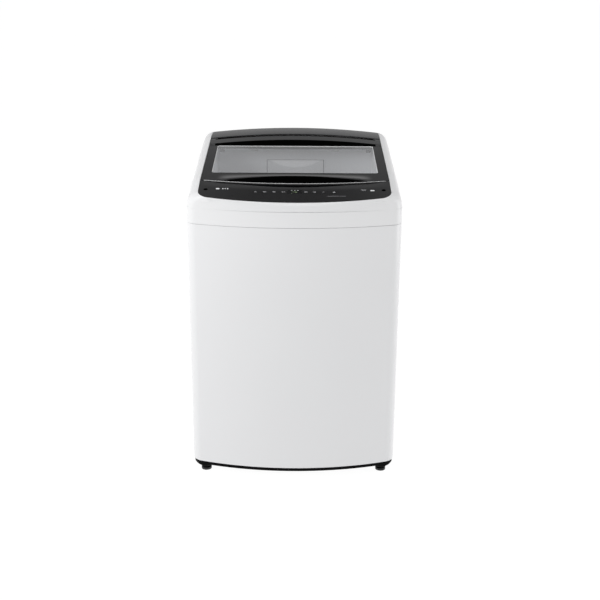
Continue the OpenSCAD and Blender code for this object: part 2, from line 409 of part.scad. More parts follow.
// ---- drain, sensing, electrics ----
module drain_valve() {
  color([0.25, 0.25, 0.27]) difference() {
    union() { translate([150, 150, 205]) cylinder(r = 16.6, h = 52, $fn = 48); translate([150, 150, 205]) cylinder(r = 24, h = 30, $fn = 48); translate([160, 136, 206]) cube([56, 28, 28]); }
    translate([150, 150, 200]) cylinder(r = 12, h = 70, $fn = 48);
  }
}
module drain_bellows() { color([0.2, 0.2, 0.21]) translate([150, 150, 0]) difference() { union() { translate([0, 0, 112.3]) cylinder(r = 15, h = 92.4, $fn = 40); for (z = [118:8:196]) translate([0, 0, z]) cylinder(r = 18, h = 4, $fn = 40); } translate([0, 0, 100]) cylinder(r = 12, h = 120, $fn = 40); } }
module drain_outlet() {
  color([0.2, 0.2, 0.21]) difference() {
    union() {
      translate([150, 150, 92]) cylinder(r = 20, h = 20, $fn = 40);
      translate([150, 150, 100]) rotate([0, -90, 0]) cylinder(r = 12, h = 300, $fn = 40);
      translate([-150, 150, 100]) rotate([-90, 0, 0]) cylinder(r = 12, h = 136, $fn = 40);
      translate([-150, 150, 100]) sphere(r = 12, $fn = 40);
      translate([-150, 285, 100]) cylinder(r = 12, h = 30, $fn = 40);
      translate([-150, 284, 130]) rotate([-90, 0, 0]) cylinder(r = 16, h = 50, $fn = 48);
      translate([-150, 284, 130]) rotate([-90, 0, 0]) cylinder(r = 19, h = 13, $fn = 48);
      for (x = [-150, 150]) translate([x - 9, 141, 36.3]) cube([18, 18, 57.5]);
    }
    translate([-150, 300, 130]) rotate([-90, 0, 0]) cylinder(r = 12, h = 40, $fn = 48);
    translate([150, 150, 98]) cylinder(r = 11, h = 30, $fn = 40);
  }
}
module pressure_sensor() { color([0.9, 0.9, 0.88]) { translate([-190, 262, 850]) cylinder(r = 22, h = 14, $fn = 48); translate([-190, 262, 863]) cylinder(r = 4, h = 12, $fn = 24); translate([-222, 256, 854]) cube([20, 12, 8]); } }
module main_board_box() { color([0.3, 0.3, 0.32]) translate([-150, -262, 812]) difference() { cube([300, 62, 30]); translate([3, 3, 3]) cube([294, 56, 30]); } }
module cord_gland() { color([0.12, 0.12, 0.13]) translate([215, hd - 16, 712]) rotate([-90, 0, 0]) difference() { union() { cylinder(r = 9.2, h = 15.2, $fn = 48); cylinder(r = 12, h = 12.6, $fn = 48); } translate([0, 0, -1]) cylinder(r = 4.5, h = 20, $fn = 40); } }
module cover_screws() { color([0.72, 0.72, 0.73]) for (x = [-284, 284]) for (z = [90, 300, 510, 720]) translate([x, hd - 2, z]) rotate([-90, 0, 0]) { translate([0, 0, 0.8]) cylinder(r = 4, h = 1.1, $fn = 32); translate([0, 0, -2.6]) cylinder(r = 2.0, h = 3.6, $fn = 24); } }

cabinet();
rear_panel();
base_frame();
foot_front_left();
foot_front_right();
foot_rear_left();
foot_rear_right();
foot_locknuts();
top_cover();
control_panel();
fascia_plate();
display_lens();
display_board();
key_power();
key_program();
key_water();
key_soak();
key_wash();
key_rinse();
key_spin();
key_start();
screw_caps();
lid_frame();
lid_glass();
lid_hinge_pins();
hinge_brackets();
lid_hook();
lid_switch();
rear_cover();
loading_collar();
dispenser_housing();
detergent_drawer();
inlet_valves();
outer_tub();
tub_cover();
basket();
basket_hub();
balance_ring();
pulsator();
pulsator_screw();
lint_filter();
bearing_housing();
bearings();
shaft_seal();
spin_shaft();
wash_shaft();
stator();
rotor();
suspension_rods();
suspension_springs();
suspension_seats();
corner_brackets();
drain_valve();
drain_bellows();
drain_outlet();
pressure_sensor();
main_board_box();
cord_gland();
cover_screws();
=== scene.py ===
import math
import bpy
import bmesh
from mathutils import Vector, Matrix


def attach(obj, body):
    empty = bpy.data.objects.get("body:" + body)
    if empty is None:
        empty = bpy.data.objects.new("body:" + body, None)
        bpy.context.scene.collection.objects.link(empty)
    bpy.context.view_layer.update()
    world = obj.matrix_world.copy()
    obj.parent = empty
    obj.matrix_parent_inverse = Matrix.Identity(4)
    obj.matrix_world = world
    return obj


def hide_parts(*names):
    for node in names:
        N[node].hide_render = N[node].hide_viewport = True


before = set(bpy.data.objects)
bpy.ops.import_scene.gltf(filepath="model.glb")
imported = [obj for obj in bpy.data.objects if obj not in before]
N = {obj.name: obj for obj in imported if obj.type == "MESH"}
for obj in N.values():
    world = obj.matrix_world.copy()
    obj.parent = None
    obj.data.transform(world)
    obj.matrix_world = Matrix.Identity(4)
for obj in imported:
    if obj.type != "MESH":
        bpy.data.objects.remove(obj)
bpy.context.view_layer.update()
MM = 0.001

# ------------------------------------------------------------------ camera
pitch, yaw, roll = math.radians(18.0), math.radians(0.12), math.radians(-0.35)
fwd = Vector((math.sin(yaw) * math.cos(pitch), math.cos(yaw) * math.cos(pitch), -math.sin(pitch)))
right = Vector((math.cos(yaw), -math.sin(yaw), 0))
down = fwd.cross(right)
if down.z > 0:
    down = -down
r2 = right * math.cos(roll) + down * math.sin(roll)
d2 = -right * math.sin(roll) + down * math.cos(roll)
cam_data = bpy.data.cameras.new("view_camera")
cam_data.sensor_width = 36.0
cam_data.lens = 36.0 * 1001.77 / 600.0
cam_data.clip_end = 3000
cam = bpy.data.objects.new("view_camera", cam_data)
bpy.context.scene.collection.objects.link(cam)
m = Matrix.Identity(4)
for i in range(3):
    m[i][0] = r2[i]
    m[i][1] = -d2[i]
    m[i][2] = -fwd[i]
m.translation = Vector((0.01147, -3.13204, 1.49504))
cam.matrix_world = m
bpy.context.scene.camera = cam
bpy.context.scene.view_settings.view_transform = "Standard"
bpy.context.scene.view_settings.look = "None"
bpy.context.scene.view_settings.exposure = 0
bpy.context.scene.view_settings.gamma = 1

# ------------------------------------------------------------------ shape functions (millimetres)
HW, HD = 316.0, 335.0
SKIRT, SEAM, CREASE = 36.5, 802.0, 849.5
DECK = 281.5
YF_IN, YB_IN = -HD + 19.7, 318.0
LID_Z, SLOPE, CROWN = 910.0, 0.155, 15.0
GLASS = 252.0
LENS = 200.0
LID_REAR = 196.4
HINGE_Y, HINGE_Z = 190.0, 977.5


def sm(t):
    u = max(0.0, min(1.0, t))
    return u * u * (3 - 2 * u)


def q(x):
    return min(1.0, (x / 281.5) ** 2)


def yl(x):
    return -222 + x * x / 2722


def zl(x):
    return LID_Z + 4 * q(x)


def zcontrol(x, y):
    return zl(x) - (0.40 - 0.12 * q(x)) * (yl(x) - y)


def zflat(x, y):
    return zl(x) + SLOPE * (y - yl(x))


def zcrown(x, y):
    return CROWN * (1 - q(x)) * sm((y - 128) / 14)


def zrear(x, y):
    d = y - 197
    return zflat(x, 197) + CROWN * (1 - q(x)) + SLOPE * d - 0.0008 * d * d - (0.03 * (y - 300) ** 2 if y > 300 else 0)


def top_z(x, y):
    if y < yl(x):
        return zcontrol(x, y)
    if y <= 197:
        return zflat(x, y) + zcrown(x, y)
    return zrear(x, y)


def groove(x, y):
    w = 46 * (1 - (x / LENS) ** 2) if abs(x) < LENS else 0
    if w <= 0.5:
        return 0.0
    t = (y - yl(x) - 2) / w
    if t <= 0 or t >= 1:
        return 0.0
    return 9 * (w / 46) * math.sin(math.pi * t ** 0.8) ** 0.8


def scoop(x, y):
    w = 15 * (1 - (x / 192) ** 2) if abs(x) < 192 else 0
    if w <= 0.3:
        return 0.0
    t = (y - (yl(x) - w)) / w
    return 7 * (w / 15) * sm(t * 1.4) if t > 0 else 0.0


def outline(w, yf, rf, rc, yb, rb, nF, nC, nS, nR, nB):
    cx = w - rc
    a0 = math.asin(cx / (rf - rc))
    cy = yf + rf - math.sqrt((rf - rc) ** 2 - cx * cx)
    p = []
    for i in range(nF + 1):
        a = -a0 + 2 * a0 * i / nF
        p.append((rf * math.sin(a), yf + rf - rf * math.cos(a)))
    for i in range(1, nC + 1):
        a = a0 + (math.pi / 2 - a0) * i / nC
        p.append((cx + rc * math.sin(a), cy - rc * math.cos(a)))
    for i in range(1, nS + 1):
        p.append((w, cy + (yb - rb - cy) * i / nS))
    for i in range(1, nR + 1):
        a = math.pi / 2 * i / nR
        p.append((w - rb + rb * math.cos(a), yb - rb + rb * math.sin(a)))
    for i in range(1, nB + 1):
        p.append(((w - rb) * (1 - 2 * i / nB), yb))
    for i in range(1, nR + 1):
        a = math.pi / 2 + math.pi / 2 * i / nR
        p.append((-(w - rb) + rb * math.cos(a), yb - rb + rb * math.sin(a)))
    for i in range(1, nS + 1):
        p.append((-w, yb - rb + (cy - yb + rb) * i / nS))
    for i in range(1, nC):
        a = -math.pi / 2 + (math.pi / 2 - a0) * i / nC
        p.append((-cx + rc * math.sin(a), cy - rc * math.cos(a)))
    return p


FINE = (150, 22, 56, 14, 40)


def body_line(inset, n=FINE):
    return outline(HW - inset, -HD + inset, 890 - inset, 40 - inset, HD - inset, 14 - min(inset, 10), *n)


def deck_line(inset, n=FINE):
    return outline(DECK - inset, YF_IN + inset, 1800, 36 - inset, YB_IN - inset, 30 - inset, *n)


# ------------------------------------------------------------------ mesh helpers
def link(o):
    bpy.context.scene.collection.objects.link(o)
    return o


def add_mesh(name, verts, faces, smooth=True):
    me = bpy.data.meshes.new(name)
    me.from_pydata([tuple(c * MM for c in v) for v in verts], [], faces)
    me.validate()
    bm = bmesh.new()
    bm.from_mesh(me)
    bmesh.ops.remove_doubles(bm, verts=bm.verts, dist=1e-6)
    bmesh.ops.dissolve_degenerate(bm, edges=bm.edges, dist=1e-7)
    bmesh.ops.recalc_face_normals(bm, faces=bm.faces)
    bm.to_mesh(me)
    bm.free()
    if smooth:
        for p in me.polygons:
            p.use_smooth = True
    return link(bpy.data.objects.new(name, me))


def fillet(points, cuts, seg=3, closed=True):
    """A closed polyline with its corners rounded: cuts gives how far each corner is cut back."""
    out = []
    n = len(points)
    for i, (p, c) in enumerate(zip(points, cuts)):
        p = Vector(p)
        if c <= 0:
            out.append(p)
            continue
        a, b = Vector(points[i - 1]), Vector(points[(i + 1) % n])
        da, db = a - p, b - p
        ca, cb = min(c, 0.48 * da.length), min(c, 0.48 * db.length)
        s, e = p + da.normalized() * ca, p + db.normalized() * cb
        for k in range(seg + 1):
            t = k / seg
            out.append(s * (1 - t) ** 2 + p * 2 * t * (1 - t) + e * t * t)
    return out


def ring_loft(name, sections, closed=True):
    n, k = len(sections), len(sections[0])
    verts = [tuple(v) for s in sections for v in s]
    faces = []
    for i in range(n if closed else n - 1):
        a, b = i * k, ((i + 1) % n) * k
        for j in range(k):
            faces.append((a + j, b + j, b + (j + 1) % k, a + (j + 1) % k))
    if not closed:
        faces.append(tuple(range(k)))
        faces.append(tuple((n - 1) * k + j for j in reversed(range(k))))
    return add_mesh(name, verts, faces)


def patch(name, top, bottom):
    n, mm_ = len(top), len(top[0])
    o = n * mm_
    verts = [tuple(v) for r in top for v in r] + [tuple(v) for r in bottom for v in r]
    faces = []
    for i in range(n - 1):
        for j in range(mm_ - 1):
            a, c = i * mm_ + j, (i + 1) * mm_ + j
            faces.append((a, a + 1, c + 1, c))
            faces.append((o + a, o + c, o + c + 1, o + a + 1))
        a, c = i * mm_, (i + 1) * mm_
        faces.append((a, c, o + c, o + a))
        a, c = i * mm_ + mm_ - 1, (i + 1) * mm_ + mm_ - 1
        faces.append((a, o + a, o + c, c))
    for j in range(mm_ - 1):
        faces.append((j, o + j, o + j + 1, j + 1))
        a = (n - 1) * mm_ + j
        faces.append((a, a + 1, o + a + 1, o + a))
    return add_mesh(name, verts, faces)


def finish_mods(o, bevel=0.0, seg=2, angle=35):
    if bevel > 0:
        b = o.modifiers.new("edge_round", "BEVEL")
        b.width = bevel * MM
        b.segments = seg
        b.limit_method = "ANGLE"
        b.angle_limit = math.radians(angle)
        b.harden_normals = False
        b.miter_outer = "MITER_ARC"
        b.use_clamp_overlap = True
    w = o.modifiers.new("weighted", "WEIGHTED_NORMAL")
    w.keep_sharp = True
    w.weight = 60
    return o


def apply_mods(o):
    dg = bpy.context.evaluated_depsgraph_get()
    e = o.evaluated_get(dg)
    me = bpy.data.meshes.new_from_object(e, preserve_all_data_layers=True, depsgraph=dg)
    o.modifiers.clear()
    o.data = me
    for p in me.polygons:
        p.use_smooth = True
    return o


def cut(o, *tools):
    for i, t in enumerate(tools):
        b = o.modifiers.new("cut%d" % i, "BOOLEAN")
        b.operation = "DIFFERENCE"
        b.solver = "EXACT"
        b.object = t
    bpy.context.view_layer.update()
    apply_mods(o)
    for t in tools:
        bpy.data.objects.remove(t)
    return o


def box_tool(x0, x1, y0, y1, z0, z1, mat=None):
    v = [(x, y, z) for x in (x0, x1) for y in (y0, y1) for z in (z0, z1)]
    f = [(0, 1, 3, 2), (4, 6, 7, 5), (0, 4, 5, 1), (2, 3, 7, 6), (0, 2, 6, 4), (1, 5, 7, 3)]
    o = add_mesh("tool", v, f, smooth=False)
    if mat is not None:
        o.data.transform(mat)
    return o


def rounded_slab(name, hx, hy, r, z0, z1, mat, seg=6, edge=0.25):
    """A flat plate with rounded corners and softened edges, placed by mat (in metres)."""
    pts = []
    for cx, cy, a0 in ((hx - r, hy - r, 0), (-hx + r, hy - r, 90), (-hx + r, -hy + r, 180), (hx - r, -hy + r, 270)):
        for i in range(seg + 1):
            a = math.radians(a0 + 90 * i / seg)
            pts.append((cx + r * math.cos(a), cy + r * math.sin(a)))
    rings = [(edge, z0), (0, z0 + edge), (0, z1 - edge), (edge, z1)]
    verts, faces = [], []
    n = len(pts)
    for inset, z in rings:
        for (x, y) in pts:
            l = math.hypot(x, y)
            sx = (abs(x) - inset) / max(abs(x), 1e-6) if abs(x) > inset else 1
            sy = (abs(y) - inset) / max(abs(y), 1e-6) if abs(y) > inset else 1
            verts.append((x * sx, y * sy, z))
    for k in range(len(rings) - 1):
        for i in range(n):
            a, b = k * n + i, k * n + (i + 1) % n
            faces.append((a, b, b + n, a + n))
    faces.append(tuple(reversed(range(n))))
    faces.append(tuple((len(rings) - 1) * n + i for i in range(n)))
    o = add_mesh(name, verts, faces)
    o.data.transform(mat)
    return o


PANEL_A = math.atan(0.40)
KEY_Y = -264.0
KX = [-113.7, -87.6, -60, -33, 33, 58, 83, 114.6]


def panel_matrix(x=0.0, y=KEY_Y, lift=0.0):
    base = Vector((x, y, zcontrol(0, y))) * MM
    return Matrix.Translation(base) @ Matrix.Rotation(PANEL_A, 4, "X") @ Matrix.Translation((0, 0, lift * MM))


# ------------------------------------------------------------------ materials
def new_mat(name):
    mt = bpy.data.materials.new(name)
    mt.use_nodes = True
    nt = mt.node_tree
    for n in list(nt.nodes):
        nt.nodes.remove(n)
    out = nt.nodes.new("ShaderNodeOutputMaterial")
    bs = nt.nodes.new("ShaderNodeBsdfPrincipled")
    nt.links.new(bs.outputs[0], out.inputs[0])
    return mt, nt, bs


def noise(nt, scale, detail=2.0, rough=0.5, stretch=None, distortion=0.0):
    tc = nt.nodes.new("ShaderNodeTexCoord")
    src = tc.outputs["Object"]
    if stretch:
        mp = nt.nodes.new("ShaderNodeMapping")
        mp.inputs["Scale"].default_value = stretch
        nt.links.new(src, mp.inputs[0])
        src = mp.outputs[0]
    n = nt.nodes.new("ShaderNodeTexNoise")
    n.inputs["Scale"].default_value = scale
    n.inputs["Detail"].default_value = detail
    n.inputs["Roughness"].default_value = rough
    n.inputs["Distortion"].default_value = distortion
    nt.links.new(src, n.inputs["Vector"])
    return n.outputs["Fac"]


def ramp(nt, fac, stops):
    r = nt.nodes.new("ShaderNodeValToRGB")
    nt.links.new(fac, r.inputs[0])
    e = r.color_ramp.elements
    while len(e) < len(stops):
        e.new(0.5)
    for el, (pos, c) in zip(e, stops):
        el.position = pos
        el.color = (*c, 1) if len(c) == 3 else c
    return r.outputs[0]


def map_range(nt, fac, a, b, lo=0.3, hi=0.7):
    r = nt.nodes.new("ShaderNodeMapRange")
    r.inputs["From Min"].default_value = lo
    r.inputs["From Max"].default_value = hi
    r.inputs["To Min"].default_value = a
    r.inputs["To Max"].default_value = b
    nt.links.new(fac, r.inputs["Value"])
    return r.outputs["Result"]


def add_bump(nt, bs, parts, strength=1.0):
    """parts: list of (fac, distance in metres)."""
    prev = None
    for fac, dist in parts:
        b = nt.nodes.new("ShaderNodeBump")
        b.inputs["Distance"].default_value = dist
        b.inputs["Strength"].default_value = strength
        nt.links.new(fac, b.inputs["Height"])
        if prev is not None:
            nt.links.new(prev, b.inputs["Normal"])
        prev = b.outputs[0]
    nt.links.new(prev, bs.inputs["Normal"])


def plastic(name, col, rough, var=0.05, r_var=0.06, grain=900, grain_d=0.00002, spec=0.5, coat=0.0, coat_rough=0.1, cloud=3.0):
    mt, nt, bs = new_mat(name)
    c = noise(nt, cloud, 3)
    bs.inputs["IOR"].default_value = 1.46
    bs.inputs["Specular IOR Level"].default_value = spec
    lo = tuple(max(0, v * (1 - var)) for v in col)
    hi = tuple(min(1, v * (1 + var)) for v in col)
    nt.links.new(ramp(nt, c, [(0.3, lo), (0.7, hi)]), bs.inputs["Base Color"])
    r = noise(nt, grain * 0.12, 4, 0.6)
    nt.links.new(map_range(nt, r, max(0.02, rough - r_var), min(1, rough + r_var)), bs.inputs["Roughness"])
    g = noise(nt, grain, 2, 0.5)
    add_bump(nt, bs, [(g, grain_d)])
    if coat > 0:
        bs.inputs["Coat Weight"].default_value = coat
        bs.inputs["Coat Roughness"].default_value = coat_rough
    return mt


def enamel(name, col, rough=0.28, var=0.012):
    mt, nt, bs = new_mat(name)
    c = noise(nt, 2.2, 2)
    lo = tuple(max(0, v * (1 - var)) for v in col)
    hi = tuple(min(1, v * (1 + var)) for v in col)
    nt.links.new(ramp(nt, c, [(0.3, lo), (0.7, hi)]), bs.inputs["Base Color"])
    r = noise(nt, 5, 1)
    nt.links.new(map_range(nt, r, rough - 0.02, rough + 0.03), bs.inputs["Roughness"])
    bs.inputs["Specular IOR Level"].default_value = 0.5
    bs.inputs["Coat Weight"].default_value = 0.25
    bs.inputs["Coat Roughness"].default_value = 0.12
    return mt


def metal(name, col, rough=0.3, stretch=None, scale=60, aniso=0.0, bump=0.00001, var=0.1):
    mt, nt, bs = new_mat(name)
    bs.inputs["Metallic"].default_value = 1.0
    f = noise(nt, scale, 4, 0.6, stretch)
    lo = tuple(v * (1 - var) for v in col)
    hi = tuple(min(1, v * (1 + var)) for v in col)
    nt.links.new(ramp(nt, f, [(0.3, lo), (0.7, hi)]), bs.inputs["Base Color"])
    nt.links.new(map_range(nt, f, rough - 0.08, rough + 0.1), bs.inputs["Roughness"])
    add_bump(nt, bs, [(f, bump)])
    if aniso:
        bs.inputs["Anisotropic"].default_value = aniso
    return mt


def galvanised(name):
    mt, nt, bs = new_mat(name)
    bs.inputs["Metallic"].default_value = 0.85
    tc = nt.nodes.new("ShaderNodeTexCoord")
    v = nt.nodes.new("ShaderNodeTexVoronoi")
    v.inputs["Scale"].default_value = 55
    nt.links.new(tc.outputs["Object"], v.inputs["Vector"])
    sep = nt.nodes.new("ShaderNodeSeparateColor")
    nt.links.new(v.outputs["Color"], sep.inputs[0])
    nt.links.new(ramp(nt, sep.outputs[0], [(0.0, (0.50, 0.51, 0.53)), (1.0, (0.66, 0.67, 0.68))]), bs.inputs["Base Color"])
    nt.links.new(map_range(nt, sep.outputs[1], 0.34, 0.52, 0, 1), bs.inputs["Roughness"])
    add_bump(nt, bs, [(noise(nt, 300, 2), 0.00001)])
    return mt


def glass_mat(name, tint, haze=0.12, rough=0.02):
    """Lightly tinted toughened pane: sees through, with a clear reflection."""
    mt, nt, bs = new_mat(name)
    out = [n for n in nt.nodes if n.type == "OUTPUT_MATERIAL"][0]
    tr = nt.nodes.new("ShaderNodeBsdfTransparent")
    c = noise(nt, 4, 2)
    nt.links.new(ramp(nt, c, [(0.3, tuple(v * 0.985 for v in tint)), (0.7, tint)]), tr.inputs[0])
    gl = nt.nodes.new("ShaderNodeBsdfGlossy")
    gl.inputs["Roughness"].default_value = rough
    nt.links.new(ramp(nt, noise(nt, 40, 2), [(0.3, (0.93, 0.94, 0.95)), (0.7, (0.97, 0.975, 0.98))]), gl.inputs[0])
    fr = nt.nodes.new("ShaderNodeFresnel")
    fr.inputs[0].default_value = 1.5
    mx = nt.nodes.new("ShaderNodeMixShader")
    geo = nt.nodes.new("ShaderNodeNewGeometry")
    front = nt.nodes.new("ShaderNodeMath")
    front.operation = "SUBTRACT"
    front.inputs[0].default_value = 1.0
    nt.links.new(geo.outputs["Backfacing"], front.inputs[1])
    ff = nt.nodes.new("ShaderNodeMath")
    ff.operation = "MULTIPLY"
    nt.links.new(fr.outputs[0], ff.inputs[0])
    nt.links.new(front.outputs[0], ff.inputs[1])
    nt.links.new(ff.outputs[0], mx.inputs[0])
    nt.links.new(tr.outputs[0], mx.inputs[1])
    nt.links.new(gl.outputs[0], mx.inputs[2])
    nt.nodes.remove(bs)
    df = nt.nodes.new("ShaderNodeBsdfDiffuse")
    nt.links.new(ramp(nt, noise(nt, 6, 2), [(0.3, (0.74, 0.745, 0.76)), (0.7, (0.80, 0.805, 0.82))]), df.inputs[0])
    hz = nt.nodes.new("ShaderNodeMixShader")
    hf = nt.nodes.new("ShaderNodeMath")
    hf.operation = "MULTIPLY"
    hf.inputs[1].default_value = haze
    nt.links.new(front.outputs[0], hf.inputs[0])
    nt.links.new(hf.outputs[0], hz.inputs[0])
    nt.links.new(mx.outputs[0], hz.inputs[1])
    nt.links.new(df.outputs[0], hz.inputs[2])
    nt.links.new(hz.outputs[0], out.inputs[0])
    return mt


def glow(name, col, strength):
    mt, nt, bs = new_mat(name)
    c = noise(nt, 800, 2)
    nt.links.new(ramp(nt, c, [(0.3, tuple(v * 0.9 for v in col)), (0.7, col)]), bs.inputs["Base Color"])
    bs.inputs["Emission Color"].default_value = (*col, 1)
    bs.inputs["Emission Strength"].default_value = strength
    bs.inputs["Roughness"].default_value = 0.4
    return mt


M = {
    "body_white": enamel("body_white", (0.775, 0.778, 0.787), 0.30),
    "cover_white": plastic("cover_white", (0.785, 0.788, 0.795), 0.32, 0.01, 0.04, 700, 0.00001, 0.45, 0.15, 0.2),
    "panel_black": plastic("panel_black", (0.0125, 0.0125, 0.0132), 0.30, 0.10, 0.03, 1600, 0.000004, 0.4),
    "fascia_black": plastic("fascia_black", (0.0125, 0.0125, 0.0132), 0.30, 0.10, 0.03, 1600, 0.000004, 0.4),
    "lid_black": plastic("lid_black", (0.0085, 0.0085, 0.0092), 0.14, 0.10, 0.02, 1500, 0.000003, 0.45),
    # painted shade colours: dark and mid grey strips standing for shadow lines on the collar's rear wall and round the
    # drawer front
    "painted_shadow_dark": plastic("painted_shadow_dark", (0.035, 0.035, 0.037), 0.5, 0.1, 0.05, 900, 0.00002, 0.3),
    "painted_shadow_mid": plastic("painted_shadow_mid", (0.16, 0.162, 0.166), 0.5, 0.06, 0.05, 900, 0.00002, 0.3),
    # near-black with no specular: painted shade in the lid's and panel's recesses, and the screw caps' own black
    "deep_black_and_painted_shade": plastic("deep_black_and_painted_shade", (0.0012, 0.0012, 0.0012), 0.7, 0.1, 0.05, 1500, 0.00002, 0.0),
    # pale greys for the pane's gasket and the lid's front strip: painted highlights on these edges
    "pane_gasket_painted_highlight": plastic("pane_gasket_painted_highlight", (0.55, 0.555, 0.56), 0.45, 0.05, 0.05, 900, 0.00002, 0.4),
    "lip_painted_highlight_grey": plastic("lip_painted_highlight_grey", (0.68, 0.685, 0.69), 0.35, 0.05, 0.05, 900, 0.00001, 0.5),
    "rear_grey": plastic("rear_grey", (0.024, 0.024, 0.0255), 0.22, 0.08, 0.03, 1500, 0.000004, 0.5),
    "base_black": plastic("base_black", (0.0014, 0.0014, 0.0014), 0.6, 0.2, 0.08, 900, 0.00004, 0.08),
    "foot_rubber": plastic("foot_rubber", (0.010, 0.010, 0.011), 0.40, 0.25, 0.1, 500, 0.00006),
    "glass": glass_mat("lid_glass_tint", (0.962, 0.966, 0.97), 0.235),
    "collar_grey": plastic("collar_grey", (0.86, 0.865, 0.88), 0.42, 0.02, 0.05, 800, 0.00003),
    "drawer_grey": plastic("drawer_grey", (0.84, 0.845, 0.86), 0.40, 0.02, 0.05, 800, 0.00003),
    "tub_grey": plastic("tub_grey", (0.55, 0.57, 0.59), 0.5, 0.05, 0.06, 500, 0.00005),
    "valve_white": plastic("valve_white", (0.72, 0.72, 0.69), 0.45, 0.05, 0.06, 700, 0.00003),
    "board_green": plastic("board_green", (0.02, 0.12, 0.05), 0.35, 0.2, 0.06, 300, 0.00003),
    "copper": plastic("copper", (0.36, 0.13, 0.05), 0.38, 0.25, 0.1, 260, 0.0001, 0.6),
    "filter_blue": plastic("filter_blue", (0.25, 0.5, 0.62), 0.45, 0.08, 0.06, 700, 0.00003),
    "dark_box": plastic("dark_box", (0.05, 0.05, 0.055), 0.5, 0.12, 0.06, 700, 0.00004),
    "seal_rubber": plastic("seal_rubber", (0.015, 0.015, 0.015), 0.6, 0.2, 0.08, 500, 0.00005),
    "stainless": metal("stainless", (0.60, 0.60, 0.61), 0.3, (1, 1, 14), 60, 0.4),
    "zinc": metal("zinc", (0.60, 0.60, 0.58), 0.36, None, 90),
    "cast": metal("cast", (0.52, 0.53, 0.54), 0.5, None, 240, 0, 0.00008),
    "spring": metal("spring", (0.20, 0.20, 0.21), 0.35, None, 120),
    "galv": galvanised("galv"),
    # printed marks: print colour plus a faint emission, a painted glow that brightens the print
    "print_white_painted_glow": glow("print_white_painted_glow", (0.80, 0.81, 0.83), 0.10),
    "print_grey_painted_glow": glow("print_grey_painted_glow", (0.50, 0.50, 0.52), 0.02),
    # faint emission on the drawer scoop's plate: a painted highlight
    "scoop_painted_highlight": glow("scoop_painted_highlight", (0.93, 0.932, 0.94), 0.085),
    "led_white": glow("led_white", (0.65, 0.68, 0.66), 0.30),
    "led_green": glow("led_green", (0.30, 0.40, 0.22), 0.12),
    "smoke": plastic("smoke", (0.009, 0.009, 0.010), 0.24, 0.15, 0.04, 900, 0.00001, 0.5),
}


def dress(o, mat):
    o.data.materials.clear()
    o.data.materials.append(M[mat])
    return o


def piece(o, mat, body, replaces=()):
    dress(o, mat)
    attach(o, body)
    if replaces:
        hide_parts(*replaces)
    return o


# ------------------------------------------------------------------ cabinet: one sheet folded round front and sides
def cabinet():
    pts = body_line(0)
    k = [i for i, p in enumerate(pts) if p[1] > HD - 0.01 and abs(p[0]) <= 300]
    # start at the rear right return, run round the front, end at the rear left return
    nF, nC, nS, nR, nB = FINE
    order = []
    start = nF + nC + nS + nR       # index of the rear right corner's end
    for i in range(start, -1, -1):
        order.append(pts[i])
    left_end = nF + nC + nS + nR + nB
    for i in range(len(pts) - 1, left_end - 1, -1):
        order.append(pts[i])
    order = [(292.0, HD)] + order + [(-292.0, HD)]
    zt = SEAM - 0.6
    secs = []
    for i, p in enumerate(order):
        a, b = Vector(order[max(i - 1, 0)]), Vector(order[min(i + 1, len(order) - 1)])
        d = (b - a).normalized()
        n_in = Vector((-d.y, d.x))
        c = Vector((0, 0)) - Vector(p)
        if n_in.dot(c) < 0:
            n_in = -n_in
        def P(k_, z):
            return (p[0] + n_in.x * k_, p[1] + n_in.y * k_, z)
        edge = p[1] > HD - 15
        fl = 8 if not edge else 3
        up = [P(0, SKIRT + (zt - SKIRT) * m / 24) for m in range(1, 24)]
        down = [P(1, zt - 1 - (zt - SKIRT - 2) * m / 24) for m in range(1, 24)]
        s = [P(0, SKIRT)] + up + [P(0, zt), P(fl, zt), P(fl, zt - 1), P(1, zt - 1)] + down + [P(1, SKIRT + 1), P(fl * 0.8, SKIRT + 1), P(fl * 0.8, SKIRT)]
        secs.append(fillet(s, [1.6] + [0] * 23 + [1.2, 0.3, 0.3, 0.6] + [0] * 23 + [1.0, 0.3, 0.3], 4))
    return finish_mods(ring_loft("cabinet_shell", secs, closed=False))


piece(cabinet(), "body_white", "cabinet", ["cabinet"])
rets = []
for s in (-1, 1):
    o = box_tool(s * 295.3 - 19.7, s * 295.3 + 19.7, HD - 3.2, HD - 2.2, SKIRT + 2, SEAM - 4)
    o.name = "cabinet_return_" + ("left" if s < 0 else "right")
    finish_mods(o, 0.3)
    piece(o, "body_white", "cabinet")

